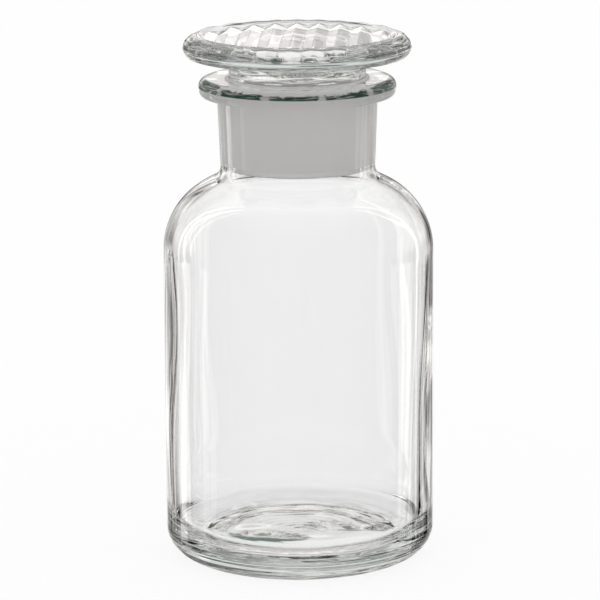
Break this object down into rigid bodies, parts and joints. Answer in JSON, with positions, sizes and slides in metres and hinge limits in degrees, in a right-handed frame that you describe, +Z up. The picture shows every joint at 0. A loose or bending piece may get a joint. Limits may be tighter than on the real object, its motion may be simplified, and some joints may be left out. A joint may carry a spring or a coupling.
{
  "type": "reagent bottle",
  "caption": "Wide-mouth clear glass reagent bottle with a rounded shoulder, a flanged neck and a hollow ground-glass stopper whose flat round head has a ribbed recess.",
  "frame": {"origin": "centre of the flat ring that the bottle stands on", "axes": "+Z up along the bottle's axis, towards the stopper"},
  "size_m": [0.0864, 0.0864, 0.1695],
  "materials": {
    "bottle_glass": "clear polished soda-lime glass; the cone inside the neck is ground matt",
    "stopper_glass": "clear pressed soda-lime glass; the cone outside the plug is ground matt"
  },
  "bodies": {
    "bottle": {"bottle": "bottle_glass"},
    "stopper": {"stopper": "stopper_glass"}
  },
  "joints": [
    {"name": "stopper_lift", "type": "slide", "parent": "bottle", "child": "stopper", "axis": [0, 0, 1], "range_m": [0, 0.06]}
  ]
}
